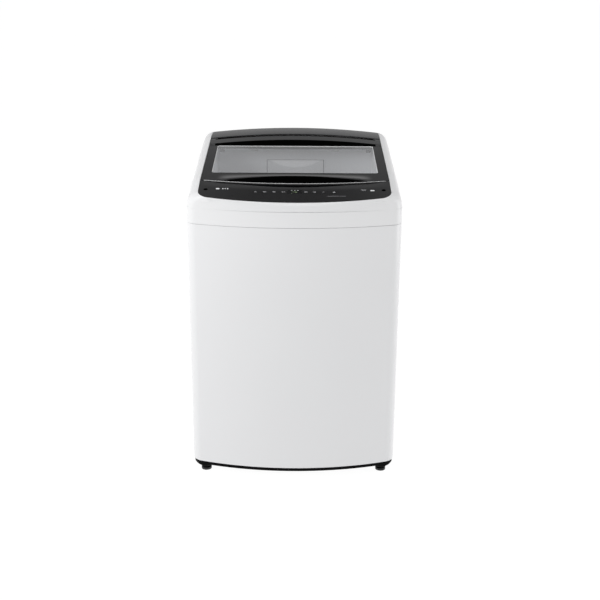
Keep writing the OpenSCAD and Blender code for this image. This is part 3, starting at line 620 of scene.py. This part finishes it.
# ------------------------------------------------------------------ top cover
def cover():
    oo, nn = body_line(0), deck_line(0)
    secs = []
    for o, n in zip(oo, nn):
        o, n = Vector(o), Vector(n)
        zi = top_z(n.x, n.y)
        h = (o - n).length
        u = (n - o) / h
        vz = zi - CREASE
        qv = min(27, vz - 0.5)
        L = vz - qv
        wi = 1 - 0.14 * min(1, max(0, L) / 30)
        in3 = o + u * 3
        gi = o + u * 2.2
        s = [(o.x, o.y, SEAM), (o.x, o.y, CREASE - 1.6), (gi.x, gi.y, CREASE - 1.5), (gi.x, gi.y, CREASE + 0.1), (o.x, o.y, CREASE + 0.2)]
        cuts = [1.1, 0.35, 0, 0, 0.35]
        for j in range(1, 15):
            t = math.pi / 2 * j / 14
            f = wi * max(0.0, math.cos(t)) ** (4 / 3)
            p = n + (o - n) * f
            s.append((p.x, p.y, zi - qv * (1 - math.sin(t) ** (4 / 3))))
            cuts.append(0.9 if j == 14 else 0)
        s += [(n.x, n.y, zi - 7.8), (n.x + u.x * 9, n.y + u.y * 9, zi - 7.8), (n.x + u.x * 9, n.y + u.y * 9, zi - 10.6)]
        cuts += [0.8, 0.5, 0.5]
        a, b, c = n + (o - n) * 0.15, n + (o - n) * 0.55, n + (o - n) * (wi - 0.14)
        s += [(a.x, a.y, zi - 10.6), (b.x, b.y, zi - 13.4), (c.x, c.y, zi - qv - 1), (in3.x, in3.y, CREASE - 8), (in3.x, in3.y, SEAM)]
        cuts += [0, 0, 0, 0, 0.5]
        secs.append(fillet(s, cuts, 3))
    o = ring_loft("top_cover_shell", secs)
    cut(o, box_tool(96, 224, HD - 8, HD + 12, 846, 898))
    return finish_mods(o)


piece(cover(), "cover_white", "cabinet", ["top_cover"])

# ------------------------------------------------------------------ control panel
def panel_front(x, w=280.8, rc=35.3, rf=1800.0):
    cx = w - rc
    cy = YF_IN + 0.7 + rf - math.sqrt((rf - rc) ** 2 - cx * cx)
    ax = abs(x)
    xs = cx + rc * cx / (rf - rc)
    if ax <= xs:
        return YF_IN + 0.7 + rf - math.sqrt(rf * rf - ax * ax)
    return cy - math.sqrt(max(0.0, rc * rc - (ax - cx) ** 2))


def panel_drop(x, y):
    """The rear strip of the panel rolls over, so the lid's edge stands a little proud of it."""
    d = yl(x) - 0.8 - y
    return 5.0 * ((40 - d) / 40) ** 2 * (1 - q(x) ** 4) if d < 40 else 0.0


def panel_top(x, y):
    return zcontrol(x, y) - scoop(x, y) - panel_drop(x, y)


def panel():
    nx = 260
    xs = [280.8 * (0.35 * math.sin(math.pi / 2 * u) + 0.65 * u) for u in [-1 + 2 * i / nx for i in range(nx + 1)]]
    ts = [i / 20 * 0.68 for i in range(21)] + [0.68 + 0.18 * i / 16 for i in range(1, 17)] + [0.86 + 0.14 * i / 20 for i in range(1, 21)]
    top = []
    for x in xs:
        yf, ye = panel_front(x), yl(x) - 0.8
        top.append([(x, yf + (ye - yf) * t, zcontrol(x, yf + (ye - yf) * t) - scoop(x, yf + (ye - yf) * t) - panel_drop(x, yf + (ye - yf) * t)) for t in ts])
    bottom = [[(v[0], v[1], v[2] - 3.2) for v in r] for r in top]
    o = patch("control_panel_shell", top, bottom)
    tool = box_tool(-21.2, 21.2, -9.2, 11.2, -12, 12)
    tool.data.transform(panel_matrix())
    caps = [rounded_slab("t", 10.3, 5.3, 5.25, -12, 12, panel_matrix(kx), 8, 0.01) for kx in KX]
    for s in (-1, 1):
        bm = bmesh.new()
        bmesh.ops.create_cone(bm, cap_ends=True, segments=48, radius1=6.3 * MM, radius2=6.3 * MM, depth=28 * MM)
        me = bpy.data.meshes.new("t")
        bm.to_mesh(me)
        bm.free()
        t = link(bpy.data.objects.new("t", me))
        me.transform(Matrix.Translation((s * 0.260, -0.251, zcontrol(260, -251) * MM)) @ Matrix.Rotation(math.radians(16.5), 4, "X"))
        caps.append(t)
    cut(o, tool, *caps)
    return finish_mods(o, 0.8, 3, 50)


panel_shell = piece(panel(), "panel_black", "cabinet", ["control_panel", "fascia_plate"])

# ------------------------------------------------------------------ lid frame
def sgn(x):
    return -1 if x < 0 else 1


def lid_lift(x, y):
    """Shallow swell of the lid between the pane and its front edge, and the rolled rear edge of the crown."""
    v = 0.0
    if y < -134:
        w = 50 * (1 - (x / LENS) ** 2) if abs(x) < LENS else 0
        W = -134 - (yl(x) + 2 + w)
        s_ = (-134 - y) / W
        if 0 < s_ < 1:
            v += 0.62 * W * s_ ** 4 * (1 - s_) * sm((236 - abs(x)) / 46)
    if y > 186:
        v -= 3.6 * (1 - q(x)) * sm((y - 186) / 10.4)
    return v


def recess(o, test):
    """Faces of a shell that lie in a finger recess or a step take a near-black material, painted shade for the shadow
    that falls there.
    """
    o.data.materials.append(M["deep_black_and_painted_shade"])
    for p in o.data.polygons:
        c = p.center / MM
        if test(c.x, c.y, c.z, p.normal):
            p.material_index = 1


def lid():
    n_ = (170, 14, 60, 10, 60)
    oo = outline(DECK - 0.7, -221.4, 1361, 3, LID_REAR, 3, *n_)
    nn = outline(GLASS, -130, 40000, 8, 126, 8, *n_)
    mm_ = outline(GLASS + 8, -138, 40000, 4, 134, 4, *n_)
    lt = [i / 60 for i in range(61)]
    secs = []
    for o, n, r_ in zip(oo, nn, mm_):
        o, n, r_ = Vector(o), Vector(n), Vector(r_)
        side = abs(o.x) > 262
        p = Vector((sgn(o.x) * 271, o.y + (n.y - o.y) * 0.3)) if side else o + (n - o) * 0.02
        r = p - Vector((sgn(o.x) * 1.5, 0)) if side else o + (n - o) * 0.06
        g = zflat(0, r_.y)
        s, cuts = [], []
        for t in lt:
            v = o + (n - o) * t
            s.append((v.x, v.y, zflat(v.x, v.y) + zcrown(v.x, v.y) - groove(v.x, v.y) + lid_lift(v.x, v.y)))
            cuts.append(0.7 if t in (0.0, 1.0) else 0)
        s += [(n.x, n.y, zflat(0, n.y) - 2.0), (r_.x, r_.y, g - 2.0), (r_.x, r_.y, g - 13)]
        cuts += [0.2, 0, 0.5]
        s += [(r.x, r.y, zflat(r.x, r.y) - 13), (p.x, p.y, zflat(p.x, p.y) - (5.6 if side else 11)), (o.x, o.y, zflat(o.x, o.y) - 5.6)]
        cuts += [0.5, 0.4, 0.6]
        secs.append(fillet(s, cuts, 3))
    o = ring_loft("lid_frame_shell", secs)
    cut(o, *[box_tool(s * 135 - 13, s * 135 + 13, HINGE_Y - 9, HINGE_Y + 21, 930, HINGE_Z + 5.1) for s in (-1, 1)])
    return finish_mods(o)


lid_shell = piece(lid(), "lid_black", "lid", ["lid_frame"])
# painted shade on the riser under the crown, the finger groove behind the lid's front lip and the rolled rear edge
recess(lid_shell, lambda x, y, z, n: (127.0 < y < 142.5 and abs(x) < 262 and n.z > 0.05 and z > 955)
       or (abs(x) < LENS + 6 and yl(x) + 1.5 < y < yl(x) + 2 + 57 * (1 - (x / (LENS + 6)) ** 2) and n.z > 0.05)
       or (abs(x) < 262 and y > 182.5 and n.z > -0.2 and z > 960))

# light grey gasket between the pane and the frame, its paleness partly a painted highlight on the pane's edge, and a
# pale strip on the lid's front edge as a painted highlight along the lip
def gasket():
    n_ = (60, 10, 40, 10, 60)
    a = outline(GLASS - 0.05, -129.95, 40000, 8, 125.95, 8, *n_)
    b = outline(GLASS - 2.0, -128.0, 40000, 6, 124.0, 6, *n_)
    secs = []
    for o, n in zip(a, b):
        zo, zn = zflat(0, o[1]), zflat(0, n[1])
        secs.append(fillet([(o[0], o[1], zo - 2.05), (n[0], n[1], zn - 2.05), (n[0], n[1], zn - 1.2), (o[0], o[1], zo - 0.25)], [0, 0.1, 0.3, 0.2], 2))
    return finish_mods(ring_loft("lid_glass_gasket", secs))


piece(gasket(), "pane_gasket_painted_highlight", "lid")


def front_lip_highlight_strip():
    secs = []
    R = 1361.0
    n = 120
    for i in range(n + 1):
        a = math.asin(270 / R) * (-1 + 2 * i / n)
        x, y = R * math.sin(a), -221.4 + R - R * math.cos(a)
        ox, oy = x, y
        zt = zflat(x, y)
        f = (0.15, 0.45)
        secs.append(fillet([(ox, oy + 0.4, zt - 0.1), (ox, oy - f[1], zt - 0.3), (ox, oy - f[1], zt - 1.5), (ox, oy + 0.4, zt - 1.7)], [0.1, 0.2, 0.2, 0.1], 2))
    return finish_mods(ring_loft("lid_front_lip_highlight_strip", secs, closed=False))


piece(front_lip_highlight_strip(), "lip_painted_highlight_grey", "lid")

# painted shade in the panel's finger scoop below the lid's front edge
recess(panel_shell, lambda x, y, z, n: (scoop(x, y) > 0.05 or (abs(x) < 196 and y > yl(x) - 16.5 * (1 - (x / 196) ** 2))) and n.z > 0.02)

# ------------------------------------------------------------------ rear cover
def rear():
    w = DECK - 0.7
    nx = 240
    xs = [w * (0.3 * math.sin(math.pi / 2 * u) + 0.7 * u) for u in [-1 + 2 * i / nx for i in range(nx + 1)]]
    def end(x):
        ax, c = abs(x), w - 29.3
        return YB_IN - 0.7 if ax < c else YB_IN - 30.0 + math.sqrt(max(0.0, 29.3 ** 2 - (ax - c) ** 2))
    ts = [i / 50 for i in range(51)]
    top = []
    for x in xs:
        y0, y1 = 205.0, max(end(x), 288)
        top.append([(x, y0 + (y1 - y0) * t, zrear(x, y0 + (y1 - y0) * t)) for t in ts])
    bottom = [[(v[0], v[1], v[2] - 3.0) for v in r] for r in top]
    return finish_mods(patch("rear_cover_shell", top, bottom), 0.9, 3, 50)


piece(rear(), "rear_grey", "cabinet", ["rear_cover"])

# ------------------------------------------------------------------ CAD nodes that stay: materials and softened edges
NODE_MAT = {
    "rear_panel": "galv", "base_frame": "base_black", "foot_locknuts": "zinc", "fascia_plate": "fascia_black", "display_lens": "smoke",
    "display_board": "board_green", "screw_caps": "deep_black_and_painted_shade", "lid_glass": "glass", "lid_hinge_pins": "zinc", "hinge_brackets": "zinc",
    "lid_hook": "lid_black", "lid_switch": "valve_white", "loading_collar": "collar_grey", "dispenser_housing": "collar_grey",
    "detergent_drawer": "drawer_grey", "inlet_valves": "valve_white", "outer_tub": "tub_grey", "tub_cover": "tub_grey", "basket": "stainless",
    "basket_hub": "cast", "balance_ring": "tub_grey", "pulsator": "tub_grey", "pulsator_screw": "zinc", "lint_filter": "filter_blue",
    "bearing_housing": "cast", "bearings": "zinc", "shaft_seal": "seal_rubber", "spin_shaft": "zinc", "wash_shaft": "zinc", "stator": "copper",
    "rotor": "galv", "suspension_rods": "zinc", "suspension_springs": "spring", "suspension_seats": "valve_white", "corner_brackets": "galv",
    "drain_valve": "dark_box", "drain_bellows": "seal_rubber", "drain_outlet": "dark_box", "pressure_sensor": "valve_white",
    "main_board_box": "dark_box", "cord_gland": "seal_rubber", "cover_screws": "zinc",
}
NO_BEVEL = {"suspension_springs", "lid_glass", "basket", "rear_panel", "bearings", "stator"}
for name, o in N.items():
    if o.hide_render:
        continue
    if name.startswith("foot_") and name != "foot_locknuts":
        dress(o, "foot_rubber")
    elif name.startswith("key_"):
        dress(o, "fascia_black")
    else:
        dress(o, NODE_MAT[name])
    for p in o.data.polygons:
        p.use_smooth = True
    if name not in NO_BEVEL:
        big = name in ("loading_collar", "dispenser_housing", "detergent_drawer", "outer_tub", "tub_cover", "balance_ring", "pulsator", "base_frame")
        finish_mods(o, 0.6 if big else 0.25, 2, 40)
    else:
        es = o.modifiers.new("smooth_by_angle", "EDGE_SPLIT")
        es.split_angle = math.radians(35)

# ------------------------------------------------------------------ rear wall of the collar: dark strips painting the shadow line along its top, and two painted shade spots near its ends
def wall_plate(name, x, z, hx, hz, r, mat, y=188.2):
    m_ = Matrix.Translation((x * MM, y * MM, z * MM)) @ Matrix.Rotation(math.radians(90), 4, "X")
    return piece(rounded_slab(name, hx, hz, r, -0.75, 0.15, m_, 5, 0.12), mat, "cabinet")


# thin plates laid on the plain wall: a painted shadow line along the top, painted shade spots at the ends
wall_plate("rear_wall_painted_shadow", 0, 946.9, 108, 2.8, 2.4, "painted_shadow_dark")
for s_ in (-1, 1):
    side_ = "left" if s_ < 0 else "right"
    wall_plate("rear_wall_painted_shadow_side_" + side_, s_ * 172, 946.2, 56, 1.9, 1.5, "painted_shadow_mid")
    wall_plate("rear_wall_painted_shade_spot_" + side_, s_ * 243, 936.5, 8, 4.2, 2.0, "painted_shadow_mid")

# painted shadow line round the detergent drawer's front, and a faintly glowing plate on its finger scoop as a painted
# highlight
for tag, x0, x1, z0, z1 in (("top", -94.4, 94.4, 907.3, 908.2), ("left", -94.8, -93.1, 851.6, 908.2), ("right", 93.1, 94.8, 851.6, 908.2)):
    o = rounded_slab("drawer_gap_" + tag, (x1 - x0) / 2, (z1 - z0) / 2, 0.35, -0.3, 0.25,
                     Matrix.Translation(((x0 + x1) / 2 * MM, 185.8 * MM, (z0 + z1) / 2 * MM)) @ Matrix.Rotation(math.radians(90), 4, "X"), 3, 0.08)
    piece(o, "painted_shadow_mid", "drawer")


def scoop_face():
    """The scoop's face leans back; its plate glows faintly, a painted highlight for the light it would catch from
    above.
    """
    R, zc, zt = 159.0, 1041.0, 906.0
    n = 48
    rows = 8
    top, bottom = [], []
    hw_ = math.sqrt(R * R - (zc - zt) ** 2) - 0.5
    for i in range(n + 1):
        x = hw_ * (-1 + 2 * i / n)
        zb = zc - math.sqrt(R * R - x * x)
        r1, r2 = [], []
        for k in range(rows + 1):
            z = zb + (zt - zb) * k / rows
            y = 185.75 + 1.9 * (z - (zc - R)) / (zt - (zc - R))
            r1.append((x, y, z))
            r2.append((x, y + 0.4, z))
        top.append(r1)
        bottom.append(r2)
    return finish_mods(patch("drawer_scoop_face", top, bottom), 0.1, 2, 50)


piece(scoop_face(), "scoop_painted_highlight", "drawer")

# ------------------------------------------------------------------ printed marks with a faint painted glow, and display, generic only
def mark(name, x, y, hx, hy, mat, r=None, lift=0.02, body="cabinet"):
    r = min(hx, hy) * 0.98 if r is None else r
    o = rounded_slab(name, hx, hy, r, 0, 0.12, panel_matrix(x, KEY_Y, lift) @ Matrix.Translation((0, y * MM, 0)), 4, 0.03)
    return piece(o, mat, body)


KEYS = ["key_power", "key_program", "key_water", "key_soak", "key_wash", "key_rinse", "key_spin", "key_start"]


def key_marks(i):
    """A generic pictogram on each key, built from thin bars and rings."""
    kx, body = KX[i], KEYS[i]
    def bar(tag, x, y, hx, hy, mat="print_grey_painted_glow"):
        o = rounded_slab("%s_mark_%s" % (body, tag), hx, hy, min(hx, hy) * 0.95, 0, 0.1, panel_matrix(kx + x, KEY_Y, 0.21) @ Matrix.Translation((0, y * MM, 0)), 3, 0.02)
        piece(o, mat, body)
    if i == 0:
        ring_mark("%s_mark_ring" % body, kx, 0, 2.6, 0.45, 40, 320, "print_white_painted_glow", body)
        bar("a", 0, 1.6, 0.3, 1.6, "print_white_painted_glow")
    elif i == 7:
        bar("a", -2.8, 0, 0.45, 2.0, "print_white_painted_glow")
        bar("b", -1.0, 0, 0.45, 2.0, "print_white_painted_glow")
        tri_mark("%s_mark_play" % body, kx + 2.2, 0, 2.0, "print_white_painted_glow", body)
    elif i in (1, 4):
        bar("a", 0, 1.6, 5.0, 0.45)
        bar("b", -1.5, 0, 3.5, 0.45)
        bar("c", 0.5, -1.6, 4.5, 0.45)
    elif i in (2, 5):
        for k in range(3):
            bar("w%d" % k, 0, 1.8 - 1.8 * k, 4.6 - k * 0.6, 0.4)
    elif i == 3:
        bar("a", -2.6, 0, 2.0, 1.6)
        bar("b", 3.0, 0.9, 2.4, 0.4)
        bar("c", 3.0, -0.9, 2.4, 0.4)
    else:
        ring_mark("%s_mark_ring" % body, kx, 0, 2.6, 0.4, 20, 200, "print_grey_painted_glow", body)
        ring_mark("%s_mark_ring2" % body, kx, 0, 2.6, 0.4, 220, 380, "print_grey_painted_glow", body)


def ring_mark(name, x, y, r, w, a0, a1, mat, body):
    n = 28
    verts, faces = [], []
    for k in range(n + 1):
        a = math.radians(90 + a0 + (a1 - a0) * k / n)
        for rr, z in ((r - w / 2, 0), (r + w / 2, 0), (r + w / 2, 0.1), (r - w / 2, 0.1)):
            verts.append((rr * math.cos(a), rr * math.sin(a), z))
    for k in range(n):
        for j in range(4):
            faces.append((k * 4 + j, (k + 1) * 4 + j, (k + 1) * 4 + (j + 1) % 4, k * 4 + (j + 1) % 4))
    faces.append((3, 2, 1, 0))
    faces.append((n * 4, n * 4 + 1, n * 4 + 2, n * 4 + 3))
    o = add_mesh(name, verts, faces, smooth=False)
    o.data.transform(panel_matrix(x, KEY_Y, 0.21) @ Matrix.Translation((0, y * MM, 0)))
    piece(o, mat, body)


def tri_mark(name, x, y, r, mat, body):
    v = [(-0.7 * r, -r, 0), (r, 0, 0), (-0.7 * r, r, 0), (-0.7 * r, -r, 0.1), (r, 0, 0.1), (-0.7 * r, r, 0.1)]
    o = add_mesh(name, v, [(2, 1, 0), (3, 4, 5), (0, 1, 4, 3), (1, 2, 5, 4), (2, 0, 3, 5)], smooth=False)
    o.data.transform(panel_matrix(x, KEY_Y, 0.21) @ Matrix.Translation((0, y * MM, 0)))
    piece(o, mat, body)


for i in range(8):
    key_marks(i)


def panel_mark(name, x, y, hx, hy, mat="print_white_painted_glow", r=None):
    """A printed mark on the panel beside the fascia, lying on the curved surface."""
    e = 0.5
    gx = (panel_top(x + e, y) - panel_top(x - e, y)) / (2 * e)
    gy = (panel_top(x, y + e) - panel_top(x, y - e)) / (2 * e)
    nz = Vector((-gx, -gy, 1)).normalized()
    ux = Vector((1, 0, gx)).normalized()
    uy = nz.cross(ux)
    m_ = Matrix(((ux.x, uy.x, nz.x, x * MM), (ux.y, uy.y, nz.y, y * MM), (ux.z, uy.z, nz.z, panel_top(x, y) * MM), (0, 0, 0, 1)))
    o = rounded_slab(name, hx, hy, min(hx, hy) * 0.95 if r is None else r, 0.01, 0.13, m_, 5, 0.03)
    piece(o, mat, "cabinet")


# generic pictograms: a lozenge with three bars on the left, two bars and a lozenge on the right
panel_mark("panel_sign_left", -225, -247, 5.6, 3.6, r=3.4)
for k in range(3):
    panel_mark("panel_sign_left_bar_%d" % k, -210 + k * 7.0, -247, 1.6, 3.0 if k != 1 else 2.0, r=0.8)
panel_mark("panel_sign_right", 227, -253, 6.2, 3.2, r=3.0)
for k in range(2):
    panel_mark("panel_sign_right_bar_%d" % k, 202, -249 - 4.0 * k, 8.0 - 2 * k, 0.75, "print_grey_painted_glow")
panel_mark("panel_rule", 121, -283, 28, 0.4, "print_grey_painted_glow")

# display: three lamps over two seven-segment digits, and one small lamp
for k, x in enumerate((-8.6, 0.4, 9.4)):
    mark("display_lamp_%d" % k, x, 8.6, 1.9, 0.8, "led_white", lift=-0.18)
mark("display_lamp_small", -8.8, -5.2, 0.9, 0.9, "led_green", lift=-0.18)


def digit(name, x, y, segs, hx=2.1, hy=3.3, w=0.34):
    place = {"a": (0, hy, hx * 0.72, w), "g": (0, 0, hx * 0.72, w), "d": (0, -hy, hx * 0.72, w),
             "f": (-hx, hy / 2, w, hy / 2 * 0.8), "b": (hx, hy / 2, w, hy / 2 * 0.8),
             "e": (-hx, -hy / 2, w, hy / 2 * 0.8), "c": (hx, -hy / 2, w, hy / 2 * 0.8)}
    for s in segs:
        px, py, sx, sy = place[s]
        mark("%s_%s" % (name, s), x + px, y + py, sx, sy, "led_green", lift=-0.18)


digit("digit_tens", -3.6, 0.2, "bcfg")
digit("digit_units", 4.4, 0.2, "abcdefg")

# ------------------------------------------------------------------ stage, world and lights
bm = bmesh.new()
bmesh.ops.create_grid(bm, x_segments=2, y_segments=2, size=1500)
me = bpy.data.meshes.new("stage_floor")
bm.to_mesh(me)
bm.free()
floor = link(bpy.data.objects.new("stage_floor", me))
floor.location = (0, 0, -0.0005)
fm, fnt, fbs = new_mat("stage_floor")
fout = [n for n in fnt.nodes if n.type == "OUTPUT_MATERIAL"][0]
fe = fnt.nodes.new("ShaderNodeEmission")
fe.inputs[0].default_value = (1, 1, 1, 1)
fe.inputs[1].default_value = 0.97
fd = fnt.nodes.new("ShaderNodeBsdfDiffuse")
fd.inputs[0].default_value = (0.10, 0.10, 0.10, 1)
fa = fnt.nodes.new("ShaderNodeAddShader")
fnt.links.new(fe.outputs[0], fa.inputs[0])
fnt.links.new(fd.outputs[0], fa.inputs[1])
fnt.links.new(fa.outputs[0], fout.inputs[0])
fnt.nodes.remove(fbs)
floor.data.materials.append(fm)

BACK_RAMP = [(0.0, 0.60), (0.15, 0.46), (0.39, 0.50), (0.465, 0.23), (0.52, 0.10), (0.57, 0.52), (0.68, 0.52), (0.76, 0.07), (1.0, 0.05)]
FRONT_RAMP = [(0.0, 0.40), (0.5, 0.34), (0.75, 0.06), (1.0, 0.05)]
SIDE_L, SIDE_R = 1.12, 1.28
world = bpy.data.worlds.new("studio")
bpy.context.scene.world = world
world.use_nodes = True
wn = world.node_tree
for n in list(wn.nodes):
    wn.nodes.remove(n)
wo = wn.nodes.new("ShaderNodeOutputWorld")
bg = wn.nodes.new("ShaderNodeBackground")
tc = wn.nodes.new("ShaderNodeTexCoord")
sx = wn.nodes.new("ShaderNodeSeparateXYZ")
wn.links.new(tc.outputs["Generated"], sx.inputs[0])


def wmath(op, a, b=None):
    n = wn.nodes.new("ShaderNodeMath")
    n.operation = op
    for k, v in ((0, a), (1, b)):
        if v is None:
            continue
        if isinstance(v, (int, float)):
            n.inputs[k].default_value = v
        else:
            wn.links.new(v, n.inputs[k])
    return n.outputs[0]


def wramp(src, stops):
    r = wn.nodes.new("ShaderNodeValToRGB")
    wn.links.new(src, r.inputs[0])
    e = r.color_ramp.elements
    while len(e) < len(stops):
        e.new(0.5)
    for el, (pos, v) in zip(e, stops):
        el.position = pos
        el.color = (v, v, v * 1.005, 1)
    return r.outputs[0]


X, Y, Z = sx.outputs["X"], sx.outputs["Y"], sx.outputs["Z"]
behind = wramp(Z, BACK_RAMP)
front = wramp(Z, FRONT_RAMP)
t_back = wramp(wmath("ADD", wmath("MULTIPLY", Y, 0.5), 0.5), [(0.35, 0.0), (0.6, 1.0)])
mixer = wn.nodes.new("ShaderNodeMix")
mixer.data_type = "RGBA"
wn.links.new(t_back, mixer.inputs[0])
wn.links.new(front, mixer.inputs[6])
wn.links.new(behind, mixer.inputs[7])
# white walls at the two sides of the studio, the left one nearer
side = wmath("POWER", wmath("ABSOLUTE", X), 3.0)
side = wmath("MULTIPLY", side, wramp(Z, [(0.0, 1.0), (0.45, 0.75), (0.8, 0.2)]))
side = wmath("MULTIPLY", side, wramp(wmath("ADD", wmath("MULTIPLY", X, 0.5), 0.5), [(0.0, SIDE_L), (1.0, SIDE_R)]))
add = wn.nodes.new("ShaderNodeMix")
add.data_type = "RGBA"
add.blend_type = "ADD"
add.clamp_result = False
add.inputs[0].default_value = 1.0
wn.links.new(mixer.outputs[2], add.inputs[6])
wn.links.new(side, add.inputs[7])
wn.links.new(add.outputs[2], bg.inputs[0])
bg.inputs[1].default_value = 1.0
wn.links.new(bg.outputs[0], wo.inputs[0])


def area(name, loc, target, size, energy, size_y=None):
    d = bpy.data.lights.new(name, "AREA")
    d.energy = energy
    d.shape = "RECTANGLE"
    d.size = size
    d.size_y = size_y or size
    o = link(bpy.data.objects.new(name, d))
    o.location = loc
    o.rotation_euler = (Vector(target) - Vector(loc)).to_track_quat("-Z", "Y").to_euler()
    return o


area("key_light", (-2.5, -2.0, 2.3), (0, 0, 0.65), 1.3, 44)
area("top_light", (0, -0.25, 3.0), (0, -0.12, 0), 2.4, 19.5, 0.95)
area("edge_light", (2.9, -0.10, 0.8), (0, -0.1, 0.65), 1.2, 11, 1.6)
